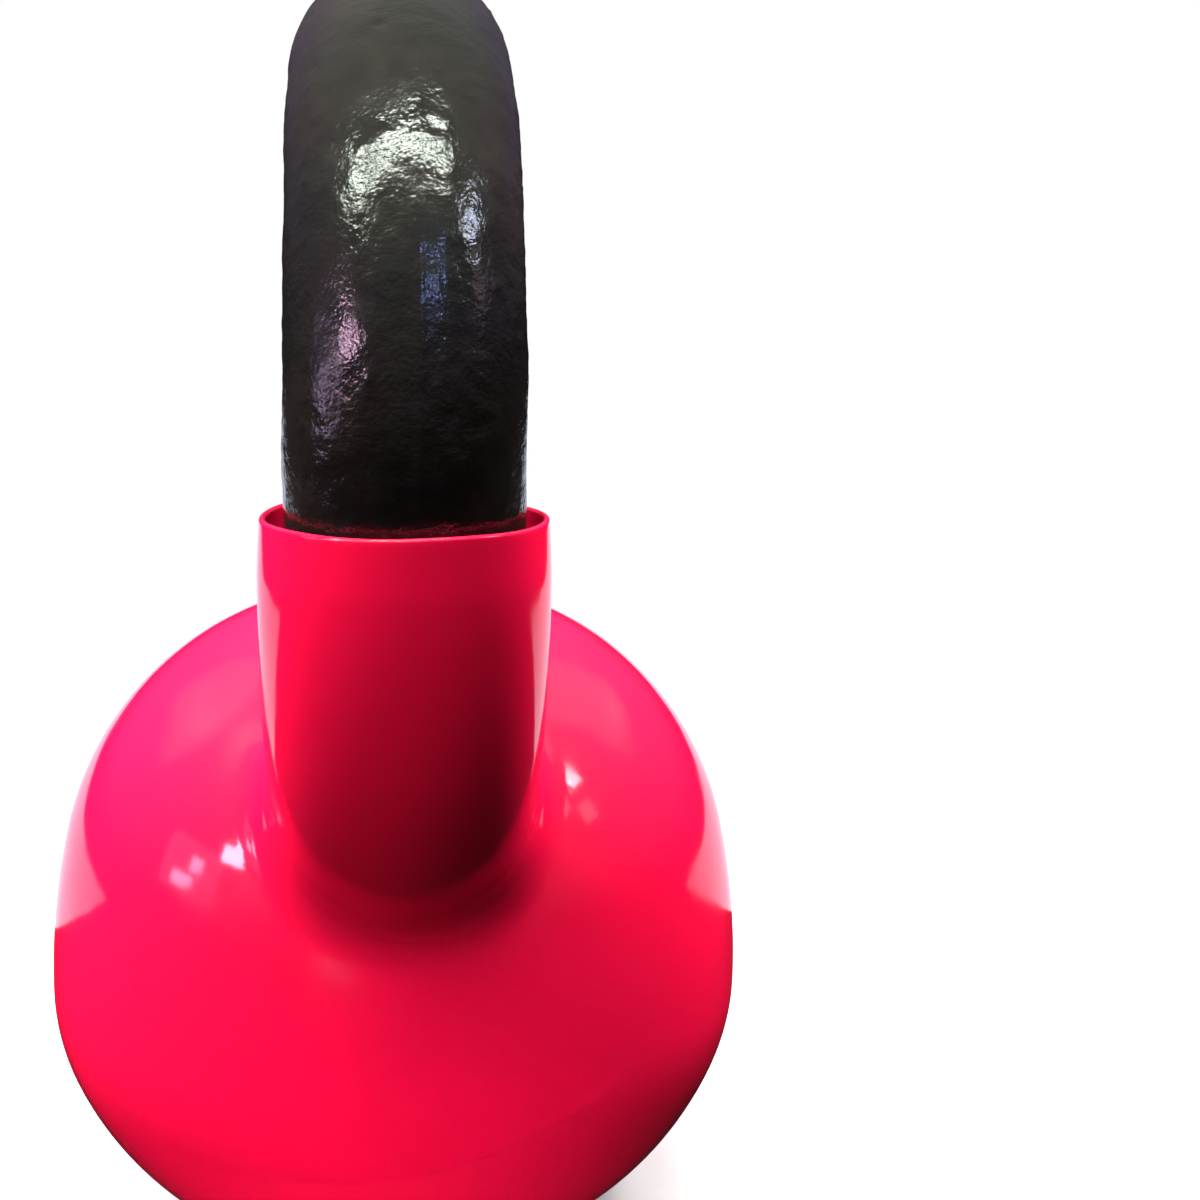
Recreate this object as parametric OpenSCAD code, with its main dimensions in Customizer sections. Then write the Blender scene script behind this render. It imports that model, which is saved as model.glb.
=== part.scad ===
// Vinyl-jacketed kettlebell: one iron casting, with a glossy skin moulded round its body and horns.
// Origin: centre of the flat base. +Z is up, and the handle lies in the XZ plane.
// Outlines and centrelines are drawn as [sideways, up] pairs, both from the base centre.

/* [Body, over the vinyl] */
// Diameter at the widest plane
body_d = 116; // [104:1:140]
// Height of the widest plane above the floor
widest_h = 40; // [36:0.5:43]
// Radius of the tall side arc that rises from the widest plane
side_r = 118; // [100:1:125]
// How far round the side arc runs, in degrees
side_turn = 13; // [8:0.5:14]
// Radius of the shoulder
shoulder_r = 50; // [44:0.5:51]
// Direction in which the shoulder ends and the flatter crown begins, in degrees
shoulder_end = 84; // [80:0.5:86]
// Radius of the belly, just below the widest plane
belly_r = 34; // [30:0.5:40]
// How far round the belly runs, in degrees
belly_turn = 22; // [18:0.5:26]
// Radius of the flank that runs down to the base
flank_r = 54; // [50:0.5:60]
// Radius that rounds the edge of the flat base
base_edge_r = 4; // [3:0.25:8]

/* [Handle] */
// Diameter of the bar that the hand grips
grip_d = 33; // [28:0.5:40]
// Outside width of the bare handle
handle_w = 153; // [135:1:185]
// Length of the bar's straight stretch
grip_straight = 20; // [10:1:40]
// Clear height for the hand, from the crown to the bar
hand_room = 66; // [55:1:80]

/* [Horns] */
// Bend radius of a horn's centreline where it turns in to the body
root_bend_r = 48; // [40:1:58]
// How far that bend runs before it ends inside the body, in degrees
root_turn = 75; // [70:1:78]

/* [Jacket] */
// Wall of the vinyl
vinyl_t = 1.6; // [1.2:0.1:2.2]
// Wall of the vinyl at its thin free lip
lip_t = 0.9; // [0.6:0.05:1.1]
// Air gap between the lip and the bare horn inside it
lip_gap = 1.65; // [1:0.05:2.5]
// Drop from the end of the handle's corner bend to the lip
lip_drop = 10; // [6:0.5:14]
// Depth of the open mouth below the lip, down to where the horn fills the jacket
mouth_depth = 8; // [6:0.5:12]
// Height over which the horn swells to fill the jacket, from the bottom of the mouth
swell_h = 6; // [3:0.25:7.5]
// Release gap between the iron and the vinyl's inside
fit_gap = 0.1; // [0.05:0.05:0.3]

/* [Hidden] */
$fn = 64;

IRON = "#1d1d1f";
VINYL = "#e8104a";
// An outline's arcs are drawn in steps of about this many degrees
ARC_STEP = 7;

function toward(angle) = [cos(angle), sin(angle)];
// Heights are kept to hundredths of a millimetre, so that neighbours meet face to face
function hundredths(v) = round(v * 100) / 100;
// The points of an arc, with both its ends
function arc(centre, r, from, to) =
    let (steps = ceil(abs(to - from) / ARC_STEP))
    [for (i = [0:steps]) centre + r * toward(from + (to - from) * i / steps)];

body_r = body_d / 2;
grip_r = grip_d / 2;

// Centres of the body's tangent arcs, from the crown down to the flank
side_c = [body_r - side_r, widest_h];
shoulder_c = side_c + (side_r - shoulder_r) * toward(side_turn);
crown_r = shoulder_r + shoulder_c.x / cos(shoulder_end);
crown_c = shoulder_c + (shoulder_r - crown_r) * toward(shoulder_end);
crown_h = hundredths(crown_c.y + crown_r);
belly_c = [body_r - belly_r, widest_h];
flank_c = belly_c + (belly_r - flank_r) * toward(-belly_turn);

// The handle's centreline: a straight bar, two corner bends and two straight legs
bar_h = crown_h + hand_room + grip_r;
leg_x = handle_w / 2 - grip_r;
corner_r = leg_x - grip_straight / 2;
corner_h = bar_h - corner_r;

// The jacket's lip, and the mouth below it that ends where the horn's root begins
lip_h = corner_h - lip_drop;
mouth_h = lip_h - mouth_depth;
bore_r = grip_r + lip_gap;
sleeve_r = bore_r + vinyl_t;
root_r = bore_r - fit_gap;

// The body's half outline, set in from the vinyl's outside and standing on the given floor height
module body_solid(inset, floor_h) {
    edge_r = base_edge_r - inset;
    edge_h = floor_h + edge_r;
    edge_reach = flank_r - base_edge_r;
    edge_x = flank_c.x + sqrt(pow(edge_reach, 2) - pow(flank_c.y - edge_h, 2));
    edge_turn = atan2(edge_h - flank_c.y, edge_x - flank_c.x);
    crown = arc(crown_c, crown_r - inset, 90, shoulder_end);
    shoulder = arc(shoulder_c, shoulder_r - inset, shoulder_end, side_turn);
    side = arc(side_c, side_r - inset, side_turn, 0);
    belly = arc(belly_c, belly_r - inset, 0, -belly_turn);
    flank = arc(flank_c, flank_r - inset, -belly_turn, edge_turn);
    edge = arc([edge_x, edge_h], edge_r, edge_turn, -90);
    // Each arc starts where the last one ends, so every arc but the first leaves out its first point
    outline = concat(crown, [for (a = [shoulder, side, belly, flank, edge], i = [1:len(a) - 1]) a[i]]);
    rotate_extrude() polygon(concat(outline, [[0, floor_h]]));
}

module both_sides() {
    children();
    mirror([1, 0, 0]) children();
}

// A round bar that bends in the XZ plane, from straight out of its centre through the given angle
module bent_bar(centre, bend_r, bar_r, turn) {
    translate([centre.x, 0, centre.y])
        rotate([90, 0, 0])
            rotate_extrude(angle = turn)
                translate([bend_r, 0]) circle(bar_r);
}

// A horn from the mouth down into the body
module horn_root(r) {
    bent_bar([leg_x - root_bend_r, mouth_h], root_bend_r, r, -root_turn);
}

// The straight leg, which swells inside the jacket's mouth to the radius of the root below
module bare_leg() {
    translate([leg_x, 0, 0]) rotate_extrude()
        polygon([[0, mouth_h], [root_r, mouth_h], [grip_r, mouth_h + swell_h],
                 [grip_r, corner_h], [0, corner_h]]);
}

// The sleeve round the mouth, which thins towards a rounded lip
module mouth_sleeve() {
    rim_r = lip_t / 2;
    rim_c = [bore_r + rim_r, lip_h - rim_r];
    translate([leg_x, 0, 0]) rotate_extrude()
        polygon(concat([[bore_r, mouth_h], [sleeve_r, mouth_h]],
                       [for (turn = [0:30:180]) rim_c + rim_r * toward(turn)]));
}

module iron_casting() {
    color(IRON) union() {
        body_solid(vinyl_t + fit_gap, vinyl_t);
        both_sides() {
            horn_root(root_r);
            bare_leg();
            bent_bar([leg_x - corner_r, corner_h], corner_r, grip_r, 90);
        }
        translate([-grip_straight / 2, 0, bar_h])
            rotate([0, 90, 0]) cylinder(h = grip_straight, r = grip_r);
    }
}

module vinyl_jacket() {
    color(VINYL) {
        difference() {
            union() {
                body_solid(0, 0);
                both_sides() horn_root(sleeve_r);
            }
            body_solid(vinyl_t, vinyl_t);
            both_sides() horn_root(bore_r);
        }
        both_sides() mouth_sleeve();
    }
}

iron_casting();
vinyl_jacket();
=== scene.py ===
"""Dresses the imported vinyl-jacketed kettlebell: its two pieces, their finishes, the studio and the camera.

Shapes are worked out in millimetres, from the centre of the flat base with +Z up and the handle in the XZ
plane. They are scaled to metres when a piece is made.
"""

import logging
import math
from dataclasses import dataclass, field
from enum import Enum
from typing import Any, Sequence

import bmesh
import bpy
import numpy as np
from mathutils import Matrix, Vector, noise


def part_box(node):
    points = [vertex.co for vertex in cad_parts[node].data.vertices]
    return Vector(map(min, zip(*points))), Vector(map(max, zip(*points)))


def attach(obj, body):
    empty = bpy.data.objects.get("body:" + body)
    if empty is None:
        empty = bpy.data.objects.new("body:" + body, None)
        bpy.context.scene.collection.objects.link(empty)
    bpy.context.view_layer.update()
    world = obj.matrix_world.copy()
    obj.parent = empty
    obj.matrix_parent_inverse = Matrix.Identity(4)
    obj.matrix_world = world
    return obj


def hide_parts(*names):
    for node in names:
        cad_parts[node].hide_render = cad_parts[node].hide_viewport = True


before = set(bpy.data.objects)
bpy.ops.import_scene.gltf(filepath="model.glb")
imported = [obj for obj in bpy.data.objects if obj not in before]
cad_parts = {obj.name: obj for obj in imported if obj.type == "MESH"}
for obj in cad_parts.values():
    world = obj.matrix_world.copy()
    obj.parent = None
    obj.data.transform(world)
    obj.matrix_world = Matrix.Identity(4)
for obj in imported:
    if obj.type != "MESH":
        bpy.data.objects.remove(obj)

LOG = logging.getLogger("kettlebell")

MM = 0.001
# Fixes the noise that strays the pimples, which would otherwise follow the clock
SEED = 1

# Points round a turned shape, and round each of a horn's rough rings
ROUND = 96
HORN_ROUND = 48
# Steps along a rough form's outline and along its horns' bends, in degrees
OUTLINE_STEP = 4.0
BEND_STEP = 5.0
# How far apart a form is sampled to find its slope, in millimetres
SLOPE_REACH = 0.02
# How often a net is evened out, how far each point then goes to its neighbours' middle, and how often the net
# is laid on its form at the end
EVENING_ROUNDS = 10
EVENING_PULL = 0.6
LAYING_ROUNDS = 6
# How near a cut a point counts as on it, in millimetres, and the share of the pitch at which its points merge
CUT_TOLERANCE = 1e-4
MERGE_SHARE = 0.35
# The least length that is divided by
TINY = 1e-9

Points = np.ndarray
Loop = list[bmesh.types.BMVert]


class Node(Enum):
    """The CAD nodes that the pieces stand for."""

    CASTING = "iron_casting"
    JACKET = "vinyl_jacket"


class Slot(Enum):
    """The record's material slots."""

    ENAMEL = "enamelled_iron"
    VINYL = "vinyl"


def node_top(node: Node) -> tuple[float, float, float]:
    """The highest x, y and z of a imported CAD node, in millimetres to the nearest hundredth."""
    x, y, z = (round(c / MM, 2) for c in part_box(node.value)[1])
    return x, y, z


def pattern_scale(size: float) -> float:
    """The texture scale that draws a pattern whose features are this size in millimetres."""
    return 1.0 / (size * MM)


def linear(colour: str) -> tuple[float, float, float, float]:
    """Turns an sRGB hex colour into linear RGBA.

    Args:
        colour: The colour, as a hash sign and six hex digits.

    Returns:
        Red, green, blue and full alpha.
    """
    channels = [int(colour[i : i + 2], 16) / 255 for i in (1, 3, 5)]
    flat = [c / 12.92 if c <= 0.04045 else ((c + 0.055) / 1.055) ** 2.4 for c in channels]
    return (flat[0], flat[1], flat[2], 1.0)


def ease(value: np.ndarray | float) -> np.ndarray:
    """Rises smoothly from 0 to 1 as the value goes from 0 to 1."""
    t = np.clip(value, 0.0, 1.0)
    return t * t * (3.0 - 2.0 * t)


def blend(first: np.ndarray, second: np.ndarray, reach: float) -> np.ndarray:
    """The lesser of two distances, eased where they come within reach of each other."""
    near = np.maximum(reach - np.abs(first - second), 0.0)
    return np.minimum(first, second) - near**2 / (4.0 * reach)


def toward(turn: np.ndarray | float) -> np.ndarray:
    """The unit vector, or vectors, at a turn in degrees from the outward direction."""
    return np.stack([np.cos(np.radians(turn)), np.sin(np.radians(turn))], axis=-1)


def full_circle(count: int) -> np.ndarray:
    """The unit vectors of a whole turn, in even steps."""
    return toward(np.linspace(0.0, 360.0, count, endpoint=False))


def add_node(
    tree: bpy.types.NodeTree,
    kind: str,
    settings: dict[str, Any] | None = None,
    values: dict[str | int, Any] | None = None,
) -> bpy.types.Node:
    """Adds one shader node.

    Args:
        tree: The node tree it goes in.
        kind: The node's type name.
        settings: Attributes to set on the node.
        values: What each input takes, by name or index: a value, or another node's output to link from.

    Returns:
        The new node.
    """
    node = tree.nodes.new(kind)
    for name, setting in (settings or {}).items():
        setattr(node, name, setting)
    for key, value in (values or {}).items():
        if isinstance(value, bpy.types.NodeSocket):
            tree.links.new(value, node.inputs[key])
        else:
            node.inputs[key].default_value = value
    return node


def start_material(name: str) -> tuple[bpy.types.Material, bpy.types.NodeTree, bpy.types.Node]:
    """Makes a material with its plain shader.

    Args:
        name: The material's name.

    Returns:
        The material, its node tree and its shader node.
    """
    made = bpy.data.materials.new(name)
    made.use_nodes = True
    return made, made.node_tree, made.node_tree.nodes["Principled BSDF"]


def loft(bm: bmesh.types.BMesh, rings: Points, capped: bool = True) -> list[Loop]:
    """Skins a run of rings that all have the same number of points.

    Args:
        bm: The mesh it is added to.
        rings: The points, by ring, then around the ring, then x, y and z.
        capped: Whether the two end rings are closed with a face.

    Returns:
        The vertices of each ring.
    """
    loops = [[bm.verts.new(p) for p in ring] for ring in rings]
    around = len(loops[0])
    for low, high in zip(loops, loops[1:]):
        for i in range(around):
            j = (i + 1) % around
            bm.faces.new((low[i], low[j], high[j], high[i]))
    if capped:
        bm.faces.new(loops[0][::-1])
        bm.faces.new(loops[-1])
    return loops


def grow(bm: bmesh.types.BMesh, loop: Loop, rings: Sequence[Points]) -> Loop:
    """Carries an open edge on through more rings, with one new point for each of the edge's own.

    Args:
        bm: The mesh it is added to.
        loop: The vertices round the open edge, in order.
        rings: The points of each further ring.

    Returns:
        The vertices of the last ring.
    """
    around = len(loop)
    for ring in rings:
        following = [bm.verts.new(p) for p in ring]
        for i in range(around):
            j = (i + 1) % around
            bm.faces.new((loop[i], loop[j], following[j], following[i]))
        loop = following
    return loop


def bridge(bm: bmesh.types.BMesh, first: Loop, second: Loop) -> None:
    """Joins two open edges that may have different numbers of points."""
    edges = [bm.edges.get((a, b)) for ring in (first, second) for a, b in zip(ring, ring[1:] + ring[:1])]
    bmesh.ops.bridge_loops(bm, edges=edges)


def open_loops(bm: bmesh.types.BMesh) -> list[Loop]:
    """Finds the open edges of a mesh.

    Args:
        bm: The mesh.

    Returns:
        Each open edge, as its vertices in order round it.
    """
    # A dict keeps the mesh's own order, so that every run starts each loop at the same place
    waiting = dict.fromkeys(e for e in bm.edges if e.is_boundary)
    loops: list[Loop] = []
    while waiting:
        edge = next(iter(waiting))
        del waiting[edge]
        loop = [edge.verts[0], edge.verts[1]]
        while True:
            step = next((e for e in loop[-1].link_edges if e in waiting), None)
            if step is None:
                break
            del waiting[step]
            loop.append(step.other_vert(loop[-1]))
        loops.append(loop[:-1] if loop[0] is loop[-1] else loop)
    return loops


def make_piece(name: str, bm: bmesh.types.BMesh, unit: float = MM) -> bpy.types.Object:
    """Makes a smooth-shaded object from a mesh.

    Args:
        name: The object's name.
        bm: The mesh, which is freed.
        unit: The mesh's unit, in metres.

    Returns:
        The object, in metres.
    """
    bmesh.ops.scale(bm, vec=(unit, unit, unit), verts=bm.verts)
    bmesh.ops.recalc_face_normals(bm, faces=bm.faces)
    mesh = bpy.data.meshes.new(name)
    bm.to_mesh(mesh)
    bm.free()
    mesh.shade_smooth()
    piece = bpy.data.objects.new(name, mesh)
    bpy.context.scene.collection.objects.link(piece)
    return piece


@dataclass(frozen=True)
class Relief:
    """One scale of a skin's unevenness: its height and size in millimetres, and a shift of its pattern."""

    height: float
    size: float
    shift: tuple[float, float, float] = (0.0, 0.0, 0.0)

    def wander(self, point: Vector) -> float:
        """The plain noise at a point, from about -1 to 1."""
        return noise.noise(point / self.size + Vector(self.shift))

    def rise(self, point: Vector) -> float:
        """How far the skin rises at a point, or falls where this is negative."""
        return self.height * self.wander(point)


@dataclass(frozen=True)
class Specks:
    """Small round bumps scattered in patches, in millimetres, with the reach as a share of the spacing."""

    height: float
    spacing: float
    reach: float
    patches: Relief
    shift: tuple[float, float, float] = (0.0, 0.0, 0.0)
    stray: float = 0.0
    stray_size: float = 9.0

    def rise(self, point: Vector) -> float:
        """How far the nearest speck stands up at a point.

        Args:
            point: The point.

        Returns:
            The height, which is never negative.
        """
        strayed = self.stray * noise.noise_vector(point / self.stray_size)
        nearest, _ = noise.voronoi(point / self.spacing + Vector(self.shift) + strayed)
        dome = math.exp(-((nearest[0] / self.reach) ** 2))
        return self.height * dome * max(0.0, self.patches.rise(point))


@dataclass(frozen=True)
class Arc:
    """An arc of an outline, with its turns in degrees from straight outward."""

    centre: np.ndarray
    radius: float
    start: float
    end: float
    slack: float = 1e-6

    def points(self, step: float) -> Points:
        """The arc's points, about every step degrees."""
        count = max(2, math.ceil(abs(self.end - self.start) / step))
        return self.centre + self.radius * toward(np.linspace(self.start, self.end, count + 1))

    def distance(self, outline: Points) -> tuple[np.ndarray, np.ndarray]:
        """Measures points against the arc.

        Args:
            outline: The points, as rows of distance outward and height.

        Returns:
            How far each lies outside the arc, and whether the arc faces it.
        """
        offset = outline - self.centre
        turn = np.degrees(np.arctan2(offset[:, 1], offset[:, 0]))
        faced = (turn <= self.start + self.slack) & (turn >= self.end - self.slack)
        return np.hypot(*offset.T) - self.radius, faced


@dataclass(frozen=True)
class Body:
    """The round body's outline over the vinyl, in millimetres and degrees."""

    widest_radius: float
    widest_height: float = 40.0
    side_radius: float = 118.0
    side_turn: float = 13.0
    shoulder_radius: float = 50.0
    shoulder_end: float = 84.0
    belly_radius: float = 34.0
    belly_turn: float = 22.0
    flank_radius: float = 54.0
    base_edge_radius: float = 4.0

    @classmethod
    def packed(cls) -> "Body":
        """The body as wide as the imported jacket, rounded to make up for the flats of its circle."""
        return cls(widest_radius=round(node_top(Node.JACKET)[1], 1))

    def arcs(self, inset: float, floor: float) -> list[Arc]:
        """The outline's tangent arcs from the crown to the base.

        Args:
            inset: How far inside the vinyl's face the outline runs.
            floor: The height of its flat base.

        Returns:
            The arcs, from the top down.
        """
        side = np.array([self.widest_radius - self.side_radius, self.widest_height])
        shoulder = side + (self.side_radius - self.shoulder_radius) * toward(self.side_turn)
        crown_radius = self.shoulder_radius + shoulder[0] / math.cos(math.radians(self.shoulder_end))
        crown = shoulder + (self.shoulder_radius - crown_radius) * toward(self.shoulder_end)
        belly = np.array([self.widest_radius - self.belly_radius, self.widest_height])
        flank = belly + (self.belly_radius - self.flank_radius) * toward(-self.belly_turn)
        edge_radius = self.base_edge_radius - inset
        edge_drop = flank[1] - floor - edge_radius
        edge_reach = math.sqrt((self.flank_radius - self.base_edge_radius) ** 2 - edge_drop**2)
        edge_turn = -math.degrees(math.atan2(edge_drop, edge_reach))
        edge = flank + np.array([edge_reach, -edge_drop])
        return [
            Arc(crown, crown_radius - inset, 90.0, self.shoulder_end),
            Arc(shoulder, self.shoulder_radius - inset, self.shoulder_end, self.side_turn),
            Arc(side, self.side_radius - inset, self.side_turn, 0.0),
            Arc(belly, self.belly_radius - inset, 0.0, -self.belly_turn),
            Arc(flank, self.flank_radius - inset, -self.belly_turn, edge_turn),
            Arc(edge, edge_radius, edge_turn, -90.0),
        ]

    def distance(self, points: Points, inset: float, floor: float) -> np.ndarray:
        """How far points near the body lie outside it.

        Args:
            points: The points, as rows of x, y and z.
            inset: How far inside the vinyl's face the outline runs.
            floor: The height of its flat base.

        Returns:
            One distance for each point, negative inside.
        """
        outline = np.stack([np.hypot(points[:, 0], points[:, 1]), points[:, 2]], axis=1)
        arcs = self.arcs(inset, floor)
        nearest = np.full(len(points), np.inf)
        for arc in arcs:
            distance, faced = arc.distance(outline)
            closer = faced & (np.abs(distance) < np.abs(nearest))
            nearest = np.where(closer, distance, nearest)
        under = (outline[:, 0] <= arcs[-1].centre[0]) & (np.abs(floor - outline[:, 1]) < np.abs(nearest))
        return np.where(under, floor - outline[:, 1], nearest)


@dataclass(frozen=True)
class Horns:
    """The two horns that carry the handle, in millimetres and degrees."""

    leg_x: float
    lip_height: float
    mouth_depth: float = 8.0
    bend_radius: float = 48.0
    sleeve_radius: float = 19.75
    root_turn: float = 75.0
    # How much deeper than wide a horn is at its foot, and over what turn of its bend it grows so
    swelling: float = 1.3
    swelling_turn: float = 40.0

    @classmethod
    def packed(cls) -> "Horns":
        """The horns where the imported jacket's sleeves and lips are."""
        x, _, z = node_top(Node.JACKET)
        return cls(leg_x=x - cls.sleeve_radius, lip_height=z)

    @property
    def mouth_height(self) -> float:
        """The height of the mouth's floor, where the horn fills the jacket."""
        return self.lip_height - self.mouth_depth

    def distance(self, points: Points, inset: float) -> np.ndarray:
        """How far points lie outside the horns, which deepen as they lean in.

        Args:
            points: The points, as rows of x, y and z.
            inset: How far inside the sleeve's face the surface runs.

        Returns:
            One distance for each point, negative inside.
        """
        across = np.abs(points[:, 0]) - (self.leg_x - self.bend_radius)
        down = np.maximum(self.mouth_height - points[:, 2], 0.0)
        reach = np.hypot(across, down) - self.bend_radius
        wide = self.sleeve_radius - inset
        deep = wide + self.swelling * ease(np.degrees(np.arctan2(down, across)) / self.swelling_turn)
        level = np.hypot(reach / deep, points[:, 1] / wide)
        slope = np.hypot(reach / deep**2, points[:, 1] / wide**2)
        return level * (level - 1.0) / np.maximum(slope, TINY)

    def rings(self, radius: float, side: int, step: float) -> Points:
        """Rough round rings down one horn, from above the lip to the end of its root.

        Args:
            radius: The rings' radius.
            side: 1 for the horn at +X and -1 for the one at -X.
            step: The turn between rings, in degrees.

        Returns:
            The rings, from the root up.
        """
        turns = np.arange(-self.root_turn, 1.0, step)
        middle = np.array([self.leg_x - self.bend_radius, self.mouth_height])
        spine = [(middle + self.bend_radius * toward(t), toward(t)) for t in turns]
        spine.append((np.array([self.leg_x, self.lip_height]), np.array([1.0, 0.0])))
        circle = full_circle(HORN_ROUND)
        return np.array(
            [
                [[side * (c[0] + radius * u * n[0]), radius * v, c[1] + radius * u * n[1]] for u, v in circle]
                for c, n in spine
            ]
        )


@dataclass(frozen=True)
class Form:
    """The body and horns run together by a fillet between soft creases, at a depth below the vinyl's face."""

    body: Body
    horns: Horns
    inset: float = 0.0
    floor: float = 0.0
    fillet: float = 3.9
    hollow: float = 1.1
    crease: float = 0.5
    # A poured skin lies up to about this far below its face, in slow ripples. That starts at one height over
    # the base, is full a stretch above it, and ends over another stretch below the mouth
    unevenness: float = 0.0
    ripples: tuple[Relief, ...] = (Relief(height=1.0, size=26.0), Relief(height=0.4, size=9.0))
    sag_start: float = 1.0
    sag_onset: float = 8.0
    sag_end: float = 12.0

    def distance(self, points: Points) -> np.ndarray:
        """How far points near the form lie outside it.

        Args:
            points: The points, as rows of x, y and z.

        Returns:
            One distance for each point, negative inside.
        """
        round_body = self.body.distance(points, self.inset, self.floor)
        horn = self.horns.distance(points, self.inset)
        skew = np.abs(round_body - horn) / self.fillet
        lean = self.hollow * np.maximum(1.0 - skew**2, 0.0)
        band = (round_body + horn - self.fillet + lean) / math.sqrt(2.0)
        return blend(blend(round_body, horn, self.crease), band, self.crease)

    def slope(self, points: Points) -> Points:
        """Finds the direction in which the distance grows fastest.

        Args:
            points: The points, as rows of x, y and z.

        Returns:
            One unit vector for each point.
        """
        rises = [
            self.distance(points + SLOPE_REACH * axis) - self.distance(points - SLOPE_REACH * axis)
            for axis in np.eye(3)
        ]
        slope = np.stack(rises, axis=1) / (2.0 * SLOPE_REACH)
        return slope / np.maximum(np.linalg.norm(slope, axis=1, keepdims=True), TINY)

    def rough(self) -> bmesh.types.BMesh:
        """Builds a rough closed body and horns, which only overlap.

        Returns:
            The mesh.
        """
        bm = bmesh.new()
        arcs = self.body.arcs(self.inset, self.floor)
        outline = np.vstack([arc.points(OUTLINE_STEP)[1:] for arc in arcs])
        circle = full_circle(ROUND)
        loft(bm, np.array([[[r * u, r * v, z] for u, v in circle] for r, z in outline]))
        for side in (-1, 1):
            loft(bm, self.horns.rings(self.horns.sleeve_radius - self.inset, side, BEND_STEP))
        bmesh.ops.recalc_face_normals(bm, faces=bm.faces)
        return bm

    def skin(self, pitch: float, cut: float) -> bmesh.types.BMesh:
        """Lays an even net of faces on the form, and opens it across the horns.

        Args:
            pitch: The net's spacing.
            cut: The height above which the horns are left off.

        Returns:
            The mesh, with two open edges.
        """
        rough = self.rough()
        mesh = bpy.data.meshes.new("rough")
        rough.to_mesh(mesh)
        rough.free()
        holder = bpy.data.objects.new("rough", mesh)
        bpy.context.scene.collection.objects.link(holder)
        remesh = holder.modifiers.new("net", "REMESH")
        remesh.mode = "VOXEL"
        remesh.voxel_size = pitch
        graph = bpy.context.evaluated_depsgraph_get()
        net = bpy.data.meshes.new_from_object(holder.evaluated_get(graph))
        self.settle(net)
        bm = bmesh.new()
        bm.from_mesh(net)
        bpy.data.objects.remove(holder)
        bpy.data.meshes.remove(mesh)
        bpy.data.meshes.remove(net)
        parts = [*bm.verts, *bm.edges, *bm.faces]
        bmesh.ops.bisect_plane(
            bm,
            geom=parts,
            dist=CUT_TOLERANCE,
            plane_co=(0, 0, cut),
            plane_no=(0, 0, 1),
            clear_outer=True,
        )
        edge = [v for v in bm.verts if v.is_boundary]
        bmesh.ops.remove_doubles(bm, verts=edge, dist=pitch * MERGE_SHARE)
        return bm

    def settle(self, net: bpy.types.Mesh) -> None:
        """Evens out a net and lays it exactly on the form, with the slight unevenness of a poured skin.

        Args:
            net: The net, whose points are moved.
        """
        count = len(net.vertices)
        flat = np.empty(count * 3, np.float32)
        net.vertices.foreach_get("co", flat)
        points = flat.reshape(-1, 3).astype(float)
        pairs = np.empty(len(net.edges) * 2, np.int32)
        net.edges.foreach_get("vertices", pairs)
        start, end = pairs.reshape(-1, 2).T
        links = np.bincount(np.concatenate([start, end]), minlength=count)[:, None]
        for _ in range(EVENING_ROUNDS):
            total = np.zeros_like(points)
            for axis in range(3):
                total[:, axis] = np.bincount(start, points[end, axis], count) + np.bincount(
                    end, points[start, axis], count
                )
            slope = self.slope(points)
            pull = total / links - points
            pull -= slope * np.sum(pull * slope, axis=1, keepdims=True)
            points += EVENING_PULL * pull
            points -= slope * self.distance(points)[:, None]
        for _ in range(LAYING_ROUNDS):
            points -= self.slope(points) * self.distance(points)[:, None]
        if self.unevenness:
            points -= self.slope(points) * self.sag(points)[:, None]
        net.vertices.foreach_set("co", points.astype(np.float32).ravel())
        net.update()

    def sag(self, points: Points) -> np.ndarray:
        """How far a poured skin lies below its nominal face.

        Args:
            points: The points, as rows of x, y and z.

        Returns:
            One depth for each point.
        """
        wander = np.array([sum(ripple.rise(Vector(p)) for ripple in self.ripples) for p in points])
        below_mouth = (self.horns.mouth_height - points[:, 2]) / self.sag_end
        above_base = (points[:, 2] - self.sag_start) / self.sag_onset
        return self.unevenness * (0.5 + 0.5 * wander) * ease(below_mouth) * ease(above_base)


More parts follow.
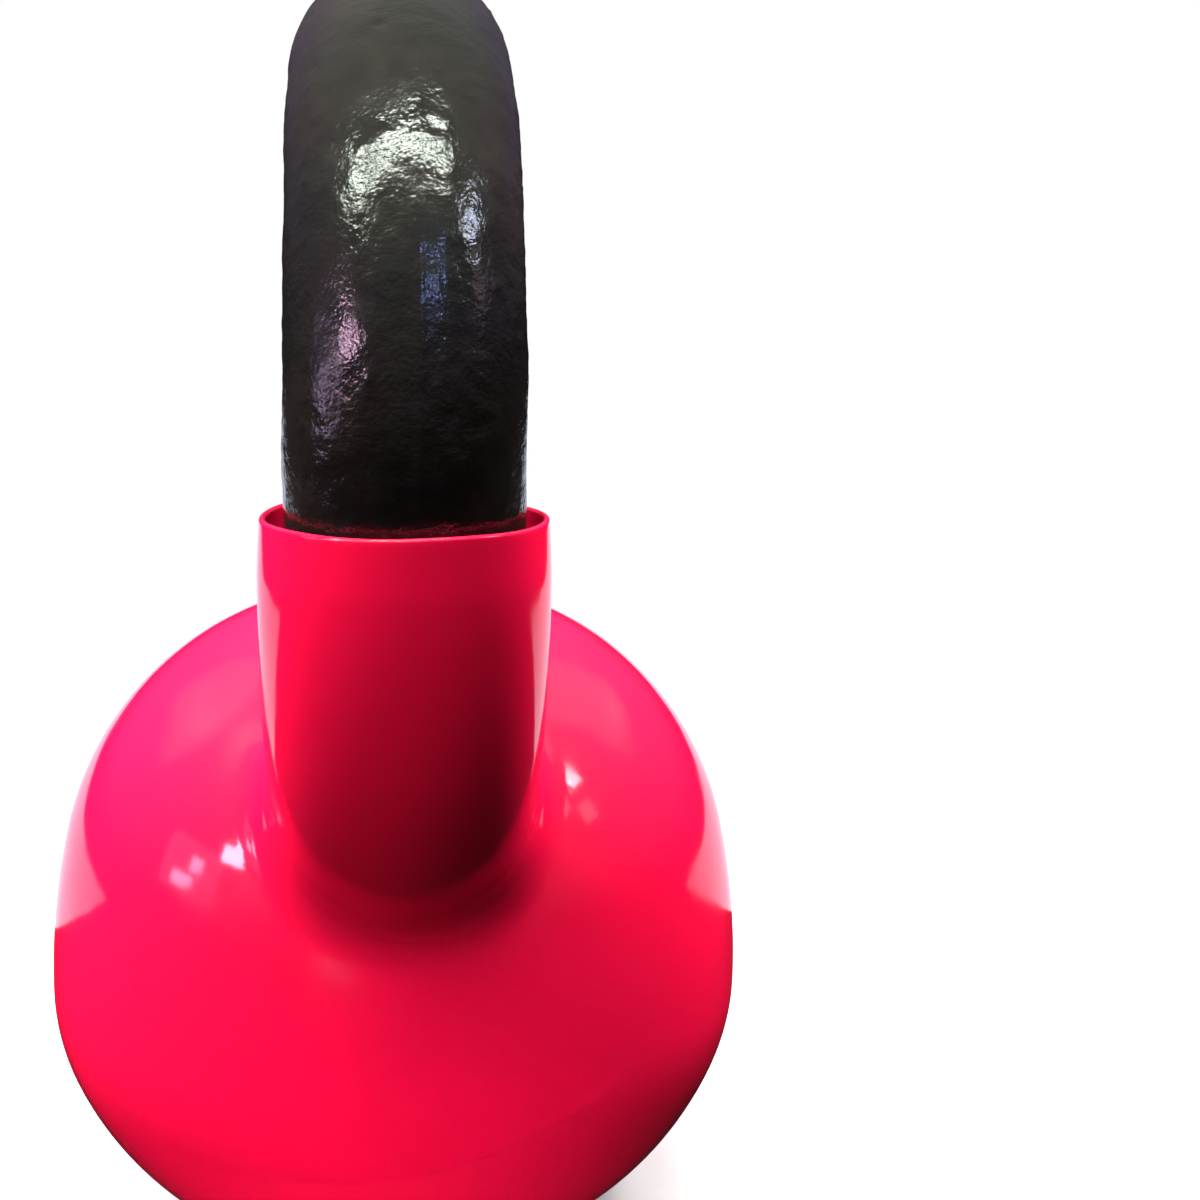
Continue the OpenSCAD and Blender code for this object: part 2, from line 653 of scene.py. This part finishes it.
@dataclass(frozen=True)
class Vinyl:
    """Gloss PVC plastisol, dipped over the iron and cured, with light handling marks."""

    name: str = "plastisol_dipped_gloss"
    colour: str = "#ea0d40"
    deep_colour: str = "#e00b38"
    ior: float = 1.53
    roughness: float = 0.085
    smudged_roughness: float = 0.17
    # The noise levels between which a smudge sets in
    smudge_levels: tuple[float, float] = (0.52, 0.74)
    # Sizes and depths of the patterns, in millimetres
    cloud_size: float = 35.71
    smudge_size: float = 11.765
    ripple_size: float = 7.143
    ripple_depth: float = 0.04
    peel_size: float = 1.5385
    peel_depth: float = 0.003

    def material(self) -> bpy.types.Material:
        """Makes the material: it gives the eye deep wet-looking red with sharp, slightly wavy reflections.

        Returns:
            The material.
        """
        made, tree, shader = start_material(self.name)
        place = add_node(tree, "ShaderNodeTexCoord").outputs["Object"]

        # Pigment that settled unevenly as the coat flowed, in clouds some 35 mm across
        clouds = add_node(
            tree,
            "ShaderNodeTexNoise",
            None,
            {"Vector": place, "Scale": pattern_scale(self.cloud_size), "Detail": 3.0},
        )
        tint = add_node(
            tree,
            "ShaderNodeMix",
            {"data_type": "RGBA"},
            {0: clouds.outputs["Fac"], 6: linear(self.colour), 7: linear(self.deep_colour)},
        )
        tree.links.new(tint.outputs[2], shader.inputs["Base Color"])

        # Finger smudges some 12 mm across, and hairline rubs that dull the gloss
        smudge = add_node(
            tree,
            "ShaderNodeTexNoise",
            None,
            {"Vector": place, "Scale": pattern_scale(self.smudge_size), "Detail": 4.0},
        )
        dulled = add_node(
            tree,
            "ShaderNodeMapRange",
            None,
            {
                "Value": smudge.outputs["Fac"],
                "From Min": self.smudge_levels[0],
                "From Max": self.smudge_levels[1],
                "To Min": self.roughness,
                "To Max": self.smudged_roughness,
            },
        )
        tree.links.new(dulled.outputs["Result"], shader.inputs["Roughness"])
        shader.inputs["IOR"].default_value = self.ior

        # Ripples of the cured skin, 7 mm apart and some hundredths of a millimetre deep, then an orange peel
        # of 1.5 mm that is a few microns deep
        ripple = add_node(
            tree,
            "ShaderNodeTexNoise",
            None,
            {"Vector": place, "Scale": pattern_scale(self.ripple_size), "Detail": 1.0},
        )
        swell = add_node(
            tree,
            "ShaderNodeBump",
            None,
            {"Height": ripple.outputs["Fac"], "Distance": self.ripple_depth * MM, "Strength": 1.0},
        )
        peel = add_node(
            tree,
            "ShaderNodeTexNoise",
            None,
            {"Vector": place, "Scale": pattern_scale(self.peel_size), "Detail": 1.0},
        )
        bump = add_node(
            tree,
            "ShaderNodeBump",
            None,
            {
                "Height": peel.outputs["Fac"],
                "Distance": self.peel_depth * MM,
                "Strength": 1.0,
                "Normal": swell.outputs["Normal"],
            },
        )
        tree.links.new(bump.outputs["Normal"], shader.inputs["Normal"])
        return made


@dataclass(frozen=True)
class Enamel:
    """Semi-gloss black enamel, sprayed thinly over as-cast iron so that the sand's grain shows through."""

    name: str = "enamel_sprayed_on_cast_iron"
    colour: str = "#0e0e0d"
    worn_colour: str = "#1b1613"
    ior: float = 1.5
    roughness: float = 0.12
    dry_roughness: float = 0.23
    # The noise levels between which the paint thins, and between which overspray sets in
    thin_levels: tuple[float, float] = (0.4, 0.75)
    spray_levels: tuple[float, float] = (0.35, 0.7)
    # Sizes and depth of the patterns, in millimetres
    cloud_size: float = 20.0
    spray_size: float = 5.0
    grain_size: float = 0.7143
    grain_depth: float = 0.08

    def material(self) -> bpy.types.Material:
        """Makes the material: it gives the eye broken, glistening highlights over lumpy near-black iron.

        Returns:
            The material.
        """
        made, tree, shader = start_material(self.name)
        place = add_node(tree, "ShaderNodeTexCoord").outputs["Object"]

        # Thin places some 20 mm across, where hands have polished brown iron through the black
        clouds = add_node(
            tree,
            "ShaderNodeTexNoise",
            None,
            {"Vector": place, "Scale": pattern_scale(self.cloud_size), "Detail": 5.0},
        )
        thin = add_node(
            tree,
            "ShaderNodeMapRange",
            None,
            {
                "Value": clouds.outputs["Fac"],
                "From Min": self.thin_levels[0],
                "From Max": self.thin_levels[1],
            },
        )
        tint = add_node(
            tree,
            "ShaderNodeMix",
            {"data_type": "RGBA"},
            {0: thin.outputs["Result"], 6: linear(self.colour), 7: linear(self.worn_colour)},
        )
        tree.links.new(tint.outputs[2], shader.inputs["Base Color"])

        # Dry overspray between glossy runs, 5 mm across
        spray = add_node(
            tree,
            "ShaderNodeTexNoise",
            None,
            {"Vector": place, "Scale": pattern_scale(self.spray_size), "Detail": 4.0},
        )
        sheen = add_node(
            tree,
            "ShaderNodeMapRange",
            None,
            {
                "Value": spray.outputs["Fac"],
                "From Min": self.spray_levels[0],
                "From Max": self.spray_levels[1],
                "To Min": self.roughness,
                "To Max": self.dry_roughness,
            },
        )
        tree.links.new(sheen.outputs["Result"], shader.inputs["Roughness"])
        shader.inputs["IOR"].default_value = self.ior

        # Sand grain under the paint: the real grain is 0.3 mm, and is drawn at 0.7 mm so that it shows
        grain = add_node(
            tree,
            "ShaderNodeTexNoise",
            None,
            {"Vector": place, "Scale": pattern_scale(self.grain_size), "Detail": 2.0},
        )
        bump = add_node(
            tree,
            "ShaderNodeBump",
            None,
            {"Height": grain.outputs["Fac"], "Distance": self.grain_depth * MM, "Strength": 1.0},
        )
        tree.links.new(bump.outputs["Normal"], shader.inputs["Normal"])
        return made


@dataclass
class VinylJacket:
    """The glossy skin moulded round the body and up the horns, open round the handle at both lips."""

    body: Body
    horns: Horns
    finish: Vinyl = field(default_factory=Vinyl)
    wall: float = 1.6
    lip_wall: float = 0.9
    # How far the mouth opens out at the lip, and how late it does so on the way up: 1 is a straight cone
    flare: float = 0.3
    flare_power: float = 1.3
    # The lip stays below the CAD's, and dips in slow and quick waves round its edge
    slow_wave: float = 0.12
    slow_count: float = 2.0
    slow_phase: float = 0.7
    quick_wave: float = 0.07
    quick_count: float = 5.0
    # Rings up to this height over the mouth's floor do not follow the waves
    still_height: float = 0.5
    # How far below the mouth's floor the lip's inside ends, and the lining that it is joined to starts
    lip_tuck: float = 1.2
    lining_drop: float = 3.0
    # Points up the sleeve, over the rim and down its inside
    sleeve_points: int = 10
    rim_points: int = 11
    inside_points: int = 8
    pitch: float = 1.0
    hidden_pitch: float = 2.2
    # How far the outer skin stays within the CAD's face, and how uneven it is
    release: float = 0.03
    unevenness: float = 0.06

    def build(self) -> bpy.types.Object:
        """Builds the outer skin, the inner skin and the two lips that join them.

        Returns:
            The finished piece.
        """
        outer = Form(self.body, self.horns, inset=self.release, floor=0.0, unevenness=self.unevenness)
        inner = Form(self.body, self.horns, inset=self.wall, floor=self.wall)
        bm = outer.skin(self.pitch, self.horns.mouth_height)
        inside = inner.skin(self.hidden_pitch, self.horns.mouth_height - self.lining_drop)
        lining = bpy.data.meshes.new("lining")
        inside.to_mesh(lining)
        inside.free()
        bm.from_mesh(lining)
        bpy.data.meshes.remove(lining)
        loops = open_loops(bm)
        for side in (-1, 1):
            there = [p for p in loops if p[0].co.x * side > 0]
            there.sort(key=lambda loop: -loop[0].co.z)
            bridge(bm, self.lip(bm, there[0], side), there[1])
        piece = make_piece("vinyl_jacket_skin", bm)
        piece.data.materials.append(self.finish.material())
        return piece

    def lip(self, bm: bmesh.types.BMesh, loop: Loop, side: int) -> Loop:
        """Carries the outer skin up to a thin rounded lip and down inside it.

        Args:
            bm: The jacket's mesh.
            loop: The outer skin's open edge round this horn.
            side: 1 for the horn at +X and -1 for the one at -X.

        Returns:
            The lowest ring inside the mouth.
        """
        centre = side * self.horns.leg_x
        turns = np.array([math.atan2(v.co.y, v.co.x - centre) for v in loop])
        bore = self.horns.sleeve_radius - self.wall
        sleeve = self.horns.sleeve_radius - self.release
        rim = self.lip_wall / 2.0
        top = self.horns.lip_height - rim
        rise = top - self.horns.mouth_height
        mouth = bore + self.flare
        outline = [
            (
                sleeve + (mouth + self.lip_wall - sleeve) * t**self.flare_power,
                self.horns.mouth_height + t * rise,
            )
            for t in np.linspace(0.0, 1.0, self.sleeve_points)
        ]
        outline += [
            (mouth + rim + rim * math.cos(a), top + rim * math.sin(a))
            for a in np.linspace(0.0, math.pi, self.rim_points)[1:]
        ]
        outline += [
            (mouth - self.flare * t, top - t * (rise + self.lip_tuck))
            for t in np.linspace(0.0, 1.0, self.inside_points)[1:]
        ]
        slow = self.slow_wave * np.sin(self.slow_count * turns + self.slow_phase)
        wave = slow + self.quick_wave * np.sin(self.quick_count * turns)
        still = self.horns.mouth_height + self.still_height
        for vert, turn in zip(loop, turns):
            vert.co = (centre + sleeve * math.cos(turn), sleeve * math.sin(turn), self.horns.mouth_height)
        rings = []
        for radius, height in outline[1:]:
            risen = float(ease((height - self.horns.mouth_height) / rise))
            lift = wave * risen - self.slow_wave - self.quick_wave
            raised = height + np.minimum(lift, 0.0) * float(height > still)
            rings.append(np.stack([centre + radius * np.cos(turns), radius * np.sin(turns), raised], axis=1))
        return grow(bm, loop, rings)


@dataclass
class IronCasting:
    """The one-piece casting: a body inside the jacket, two horns and the bar that the hand grips."""

    body: Body
    horns: Horns
    finish: Enamel = field(default_factory=Enamel)
    # How far the hidden body and horns lie inside the vinyl's face, and the height of their floor
    inset: float = 1.7
    floor: float = 1.65
    grip_radius: float = 16.5
    grip_straight: float = 20.0
    swell_height: float = 6.0
    # How far below the mouth's floor the bare leg starts, and the hidden horn that it is joined to ends
    leg_drop: float = 2.0
    core_drop: float = 4.0
    pitch: float = 0.55
    hidden_pitch: float = 2.2
    # The bare bar is drawn this much thinner than its nominal radius, and the relief never stands higher
    allowance: float = 0.36
    # Broad lumps and dents from the mould, then the print of its sand
    sand: tuple[Relief, ...] = (
        Relief(height=0.28, size=16.0),
        Relief(height=0.10, size=6.5, shift=(7.0, 3.0, 1.0)),
        Relief(height=0.07, size=1.9),
        Relief(height=0.04, size=1.2, shift=(2.0, 5.0, 9.0)),
    )
    # Ridges where the skin crumpled as it cooled
    crumple: Relief = Relief(height=0.09, size=3.4, shift=(3.0, 1.0, 8.0))
    crumple_level: float = 0.25
    pimples: Specks = Specks(
        height=0.6,
        spacing=3.0,
        reach=0.16,
        patches=Relief(height=1.0, size=6.0, shift=(1.0, 1.0, 1.0)),
        stray=0.8,
    )
    pits: Specks = Specks(
        height=0.6,
        spacing=5.2,
        reach=0.13,
        patches=Relief(height=1.0, size=8.0, shift=(9.0, 2.0, 5.0)),
        shift=(4.0, 8.0, 2.0),
    )
    # The skin is smooth just above the mouth's floor, and comes up to its full relief over the next stretch
    smooth_foot: float = 1.0
    fade_height: float = 7.0
    # The trace of the mould's parting line down the outside
    seam_height: float = 0.2
    seam_offset: float = 1.6
    seam_width: float = 0.5

    @property
    def corner_radius(self) -> float:
        """The radius of the centreline's corner bends, which leave the bar its straight stretch."""
        return self.horns.leg_x - self.grip_straight / 2.0

    @property
    def corner_height(self) -> float:
        """The height of the corner bends' centres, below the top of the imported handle."""
        return node_top(Node.CASTING)[2] - self.grip_radius - self.corner_radius

    def spine(self) -> tuple[Points, Points]:
        """The handle's centreline from the mouth at -X over to the one at +X.

        Returns:
            The centreline's points as rows of x and z, and the outward direction at each.
        """
        foot = self.horns.mouth_height - self.leg_drop
        leg = np.arange(foot, self.corner_height, self.pitch)
        turns = np.linspace(0.0, 90.0, math.ceil(math.radians(90.0) * self.corner_radius / self.pitch))
        inner = self.horns.leg_x - self.corner_radius
        bar = np.arange(inner, 0.0, -self.pitch)[1:]
        centre = np.array([inner, self.corner_height])
        points = np.vstack(
            [
                np.stack([np.full(len(leg), self.horns.leg_x), leg], axis=1),
                centre + self.corner_radius * toward(turns),
                np.stack([bar, np.full(len(bar), self.corner_height + self.corner_radius)], axis=1),
            ]
        )
        leg_out = np.tile([1.0, 0.0], (len(leg), 1))
        bar_out = np.tile([0.0, 1.0], (len(bar), 1))
        out = np.vstack([leg_out, toward(turns), bar_out])
        flip = np.array([-1.0, 1.0])
        return np.vstack([points, (points * flip)[::-1]]), np.vstack([out, (out * flip)[::-1]])

    def radii(self, spine: Points) -> np.ndarray:
        """The handle's radius before its relief, which swells inside the mouths.

        Args:
            spine: The centreline's points, as rows of x and z.

        Returns:
            One radius for each point.
        """
        swell = 1.0 - ease((spine[:, 1] - self.horns.mouth_height) / self.swell_height)
        root = self.horns.sleeve_radius - self.inset
        bare = self.grip_radius - self.allowance
        return bare + (root - bare) * swell

    def cast_skin(self, points: Points) -> np.ndarray:
        """How far the as-cast surface stands proud of the nominal one, at each point.

        Args:
            points: The points, as rows of x, y and z.

        Returns:
            One height for each point, never above the allowance.
        """
        heights = np.empty(len(points))
        for i, row in enumerate(points):
            p = Vector(row)
            sand = sum(scale.rise(p) for scale in self.sand)
            crumple = self.crumple.height * (self.crumple_level - abs(self.crumple.wander(p)))
            heights[i] = sand + crumple + self.pimples.rise(p) - self.pits.rise(p)
        heights += self.seam_height * np.exp(-(((points[:, 1] - self.seam_offset) / self.seam_width) ** 2))
        above_mouth = points[:, 2] - self.horns.mouth_height
        return np.minimum(heights, self.allowance) * ease((above_mouth - self.smooth_foot) / self.fade_height)

    def build(self) -> bpy.types.Object:
        """Builds the bare handle and joins it to the body and horns hidden by the jacket.

        Returns:
            The finished piece.
        """
        hidden = Form(self.body, self.horns, inset=self.inset, floor=self.floor)
        bm = hidden.skin(self.hidden_pitch, self.horns.mouth_height - self.core_drop)
        open_ends = open_loops(bm)
        spine, out = self.spine()
        around = round(math.tau * self.grip_radius / self.pitch)
        circle = full_circle(around)
        radii = self.radii(spine)
        direction = np.stack(
            [
                circle[None, :, 0] * out[:, None, 0],
                np.broadcast_to(circle[None, :, 1], (len(spine), around)),
                circle[None, :, 0] * out[:, None, 1],
            ],
            axis=2,
        )
        centre = np.stack([spine[:, 0], np.zeros(len(spine)), spine[:, 1]], axis=1)[:, None, :]
        nominal = centre + radii[:, None, None] * direction
        proud = self.cast_skin(nominal.reshape(-1, 3)).reshape(len(spine), around, 1)
        loops = loft(bm, nominal + proud * direction, capped=False)
        for end in (loops[0], loops[-1]):
            side = math.copysign(1.0, end[0].co.x)
            bridge(bm, end, next(p for p in open_ends if p[0].co.x * side > 0))
        piece = make_piece("cast_iron_core_and_handle", bm)
        piece.data.materials.append(self.finish.material())
        return piece


class Light(Enum):
    """What a lamp is for: (lights surfaces, shows in their gloss)."""

    WASH = (True, False)
    GLINT = (False, True)


@dataclass(frozen=True)
class SoftBox:
    """A soft lamp in the studio, in metres, watts and degrees."""

    name: str
    use: Light
    place: tuple[float, float, float]
    size: tuple[float, float]
    power: float
    colour: str = "#ffffff"
    aim: tuple[float, float, float] = (0.0, 0.0, 0.08)
    spread: float = 180.0

    def hang(self) -> bpy.types.Object:
        """Hangs the lamp, turned toward its aim and hidden from the camera.

        Returns:
            The lamp.
        """
        lamp = bpy.data.lights.new(self.name, "AREA")
        lamp.shape = "RECTANGLE"
        lamp.size, lamp.size_y = self.size
        lamp.energy = self.power
        lamp.color = linear(self.colour)[:3]
        lamp.spread = math.radians(self.spread)
        holder = bpy.data.objects.new(self.name, lamp)
        holder.location = self.place
        holder.rotation_euler = (Vector(self.aim) - Vector(self.place)).to_track_quat("-Z", "Y").to_euler()
        holder.visible_camera = False
        holder.visible_diffuse, holder.visible_glossy = self.use.value
        bpy.context.scene.collection.objects.link(holder)
        return holder


@dataclass
class Studio:
    """A pale floor that sweeps up all round, a bright table that shows only in the gloss, and soft lamps."""

    floor_radius: float = 0.9
    sweep_radius: float = 0.5
    wall_height: float = 1.6
    floor_points: int = 8
    sweep_points: int = 16
    floor_colour: str = "#b0b0ae"
    floor_roughness: float = 0.9
    # The paper starts to glow at one distance from the middle, and glows fully at the other
    paper_glow: str = "#ffffff"
    glow_reach: tuple[float, float] = (0.12, 0.42)
    # The room's colours, and the heights of a direction between which each turns to the next
    low_colour: str = "#1d1518"
    level_colour: str = "#6b6172"
    zenith_colour: str = "#b9bfb2"
    level_band: tuple[float, float] = (-0.05, 0.25)
    zenith_band: tuple[float, float] = (0.2, 0.85)
    # The table top: the x of its near edge, then how far it runs back, its width and its height
    table_edge: float = -0.118
    table_depth: float = 1.1
    table_width: float = 0.88
    table_lift: float = 0.001
    table_colour: str = "#e6ecff"
    table_glow: float = 1.25
    lamps: tuple[SoftBox, ...] = (
        SoftBox("left_wash", Light.WASH, (-0.45, -0.66, 0.70), (0.5, 0.5), 34.0, "#fff6fb"),
        SoftBox("right_wash", Light.WASH, (-0.45, 0.66, 0.70), (0.5, 0.5), 32.0, "#fff6fb"),
        SoftBox("top_wash", Light.WASH, (0.0, 0.0, 1.05), (0.5, 0.8), 24.0, "#fffcf6"),
        SoftBox("front_top", Light.WASH, (0.60, -0.24, 0.76), (0.4, 0.4), 3.4, "#fff8f4"),
        SoftBox("side_wash", Light.WASH, (0.03, -0.62, 0.88), (0.3, 0.4), 15.0, "#fff6fb"),
        SoftBox("front_fill", Light.WASH, (0.60, -0.75, 0.35), (0.4, 0.4), 2.4, "#fff6f4"),
        SoftBox(
            "low_fill",
            Light.WASH,
            (0.75, -0.30, 0.06),
            (0.10, 0.06),
            0.065,
            "#fff4f0",
            aim=(0.05, 0.0, -0.015),
            spread=12.0,
        ),
        SoftBox("window_sill", Light.GLINT, (0.20, -0.75, 0.170), (0.11, 0.05), 0.17, "#e8d0ff"),
        SoftBox("window_glow", Light.GLINT, (0.23, -0.76, 0.23), (0.34, 0.22), 0.20, "#f0c8ff"),
        SoftBox("window_pane", Light.GLINT, (0.25, -0.73, 0.245), (0.07, 0.06), 0.12, "#e8d0ff"),
        SoftBox("window_top", Light.GLINT, (0.44, -0.63, 0.36), (0.22, 0.07), 1.4, "#ffcdf0"),
        SoftBox("skylight", Light.GLINT, (0.29, 0.03, 0.95), (0.95, 0.035), 10.5, "#f4fff0"),
        SoftBox("skylight_left", Light.GLINT, (0.27, -0.52, 0.80), (0.24, 0.12), 3.0, "#f4fff0"),
        SoftBox("skylight_right", Light.GLINT, (0.22, 0.80, 0.72), (0.24, 0.12), 1.3, "#f0f8ff"),
        SoftBox("far_window", Light.GLINT, (0.20, 0.75, 0.46), (0.10, 0.10), 0.06, "#ffd9ec"),
        SoftBox("blue_pane", Light.GLINT, (0.66, 0.40, 0.60), (0.07, 0.03), 0.55, "#98abff"),
        SoftBox("blue_corner", Light.GLINT, (0.16, 0.62, 0.56), (0.03, 0.03), 0.25, "#a4b4ff"),
    )

    def build(self) -> list[bpy.types.Object]:
        """Sets up the floor, the sweep round it, the table, the surroundings and the lamps.

        Returns:
            The stage objects.
        """
        circle = full_circle(ROUND)
        middle = self.floor_radius
        sweep = [
            (middle + self.sweep_radius * math.sin(a), self.sweep_radius * (1.0 - math.cos(a)))
            for a in np.linspace(0.0, math.pi / 2.0, self.sweep_points)
        ]
        sweep.append((middle + self.sweep_radius, self.wall_height))
        flat = [(r, 0.0) for r in np.linspace(0.0, middle, self.floor_points)[1:]]
        sheet = self.sheet("studio_floor", flat + sweep[1:], circle)
        sheet.data.materials.append(self.paper())
        sheet.visible_glossy = False
        sheet.visible_diffuse = False
        table = self.table()
        self.surroundings()
        lamps = [lamp.hang() for lamp in self.lamps]
        return [sheet, table, *lamps]

    def sheet(self, name: str, outline: Sequence[tuple[float, float]], circle: Points) -> bpy.types.Object:
        """Turns an outline in metres round the middle of the floor.

        Args:
            name: The sheet's name.
            outline: Its radii and heights, from the middle out.
            circle: The directions round it.

        Returns:
            The sheet.
        """
        bm = bmesh.new()
        loops = loft(bm, np.array([[[r * u, r * v, z] for u, v in circle] for r, z in outline]), capped=False)
        bm.faces.new(loops[0])
        return make_piece(name, bm, unit=1.0)

    def paper(self) -> bpy.types.Material:
        """Makes matt backdrop paper, lit near the object and glowing farther off: a seamless pale ground.

        Returns:
            The material.
        """
        made, tree, shader = start_material("paper_matt_backdrop")
        shader.inputs["Base Color"].default_value = linear(self.floor_colour)
        shader.inputs["Roughness"].default_value = self.floor_roughness
        shader.inputs["Specular IOR Level"].default_value = 0.0
        place = add_node(tree, "ShaderNodeTexCoord").outputs["Object"]
        away = add_node(tree, "ShaderNodeVectorMath", {"operation": "LENGTH"}, {0: place})
        far = add_node(
            tree,
            "ShaderNodeMapRange",
            {"interpolation_type": "SMOOTHSTEP"},
            {
                "Value": away.outputs["Value"],
                "From Min": self.glow_reach[0],
                "From Max": self.glow_reach[1],
            },
        )
        glow = add_node(tree, "ShaderNodeEmission", None, {"Color": linear(self.paper_glow)})
        mixed = add_node(
            tree,
            "ShaderNodeMixShader",
            None,
            {0: far.outputs["Result"], 1: shader.outputs["BSDF"], 2: glow.outputs["Emission"]},
        )
        tree.links.new(mixed.outputs["Shader"], tree.nodes["Material Output"].inputs["Surface"])
        return made

    def table(self) -> bpy.types.Object:
        """Lays the bright table top behind the object, which only shows in the gloss.

        Returns:
            The table top.
        """
        bm = bmesh.new()
        near, far, wide = self.table_edge, self.table_edge - self.table_depth, self.table_width / 2.0
        corners = [(near, -wide), (near, wide), (far, wide), (far, -wide)]
        bm.faces.new([bm.verts.new((x, y, self.table_lift)) for x, y in corners])
        top = make_piece("studio_table", bm, unit=1.0)
        made, tree, _ = start_material("paper_lit_table")
        glow = add_node(
            tree,
            "ShaderNodeEmission",
            None,
            {"Color": linear(self.table_colour), "Strength": self.table_glow},
        )
        tree.links.new(glow.outputs["Emission"], tree.nodes["Material Output"].inputs["Surface"])
        top.data.materials.append(made)
        top.visible_camera = False
        top.visible_diffuse = False
        top.visible_shadow = False
        return top

    def surroundings(self) -> None:
        """Makes the world: a dim room, dark below, lilac at eye level and grey-green overhead."""
        world = bpy.data.worlds.new("studio")
        world.use_nodes = True
        bpy.context.scene.world = world
        tree = world.node_tree
        background = tree.nodes["Background"]
        direction = add_node(tree, "ShaderNodeTexCoord").outputs["Generated"]
        height = add_node(tree, "ShaderNodeSeparateXYZ", None, {"Vector": direction}).outputs["Z"]
        raised = add_node(
            tree,
            "ShaderNodeMapRange",
            {"interpolation_type": "SMOOTHSTEP"},
            {"Value": height, "From Min": self.zenith_band[0], "From Max": self.zenith_band[1]},
        )
        upper = add_node(
            tree,
            "ShaderNodeMix",
            {"data_type": "RGBA"},
            {0: raised.outputs["Result"], 6: linear(self.level_colour), 7: linear(self.zenith_colour)},
        )
        above = add_node(
            tree,
            "ShaderNodeMapRange",
            {"interpolation_type": "SMOOTHSTEP"},
            {"Value": height, "From Min": self.level_band[0], "From Max": self.level_band[1]},
        )
        room = add_node(
            tree,
            "ShaderNodeMix",
            {"data_type": "RGBA"},
            {0: above.outputs["Result"], 6: linear(self.low_colour), 7: upper.outputs[2]},
        )
        tree.links.new(room.outputs[2], background.inputs["Color"])


@dataclass(frozen=True)
class Viewpoint:
    """Where the camera stands, in metres and degrees."""

    place: tuple[float, float, float] = (0.3102, -0.0042, 0.1689)
    left_turn: float = 6.99
    down_tilt: float = 11.81
    roll: float = 1.2
    lens: float = 56.5
    nearest: float = 0.01

    def build(self) -> bpy.types.Object:
        """Sets up the scene's camera.

        Returns:
            The camera.
        """
        lens = bpy.data.cameras.new("camera")
        lens.lens = self.lens
        lens.clip_start = self.nearest
        lens.dof.use_dof = False
        turn, tilt = math.radians(self.left_turn), math.radians(self.down_tilt)
        look = Vector((-math.cos(tilt) * math.cos(turn), math.cos(tilt) * math.sin(turn), -math.sin(tilt)))
        right = look.cross(Vector((0.0, 0.0, 1.0))).normalized()
        up = right.cross(look)
        spin = Matrix.Rotation(math.radians(self.roll), 3, -look)
        right, up = spin @ right, spin @ up
        camera = bpy.data.objects.new("camera", lens)
        turned = Matrix((right, up, -look)).transposed().to_4x4()
        camera.matrix_world = Matrix.Translation(self.place) @ turned
        bpy.context.scene.collection.objects.link(camera)
        bpy.context.scene.camera = camera
        return camera


def report(piece: bpy.types.Object, node: Node) -> None:
    """Logs a piece's name, what it stands for and its face count."""
    LOG.info("%s stands for %s, with %d faces", piece.name, node.value, len(piece.data.polygons))


def main() -> None:
    """Builds the pieces, the studio and the camera."""
    logging.basicConfig(level=logging.INFO, format="%(name)s: %(message)s")
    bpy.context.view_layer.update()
    noise.seed_set(SEED)
    body, horns = Body.packed(), Horns.packed()
    for maker, node, slot in (
        (IronCasting(body, horns), Node.CASTING, Slot.ENAMEL),
        (VinylJacket(body, horns), Node.JACKET, Slot.VINYL),
    ):
        piece = maker.build()
        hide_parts(node.value)
        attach(piece, "root")
        report(piece, node)
    Studio().build()
    Viewpoint().build()
    bpy.context.scene.view_settings.view_transform = "Standard"


if __name__ == "__main__":
    main()
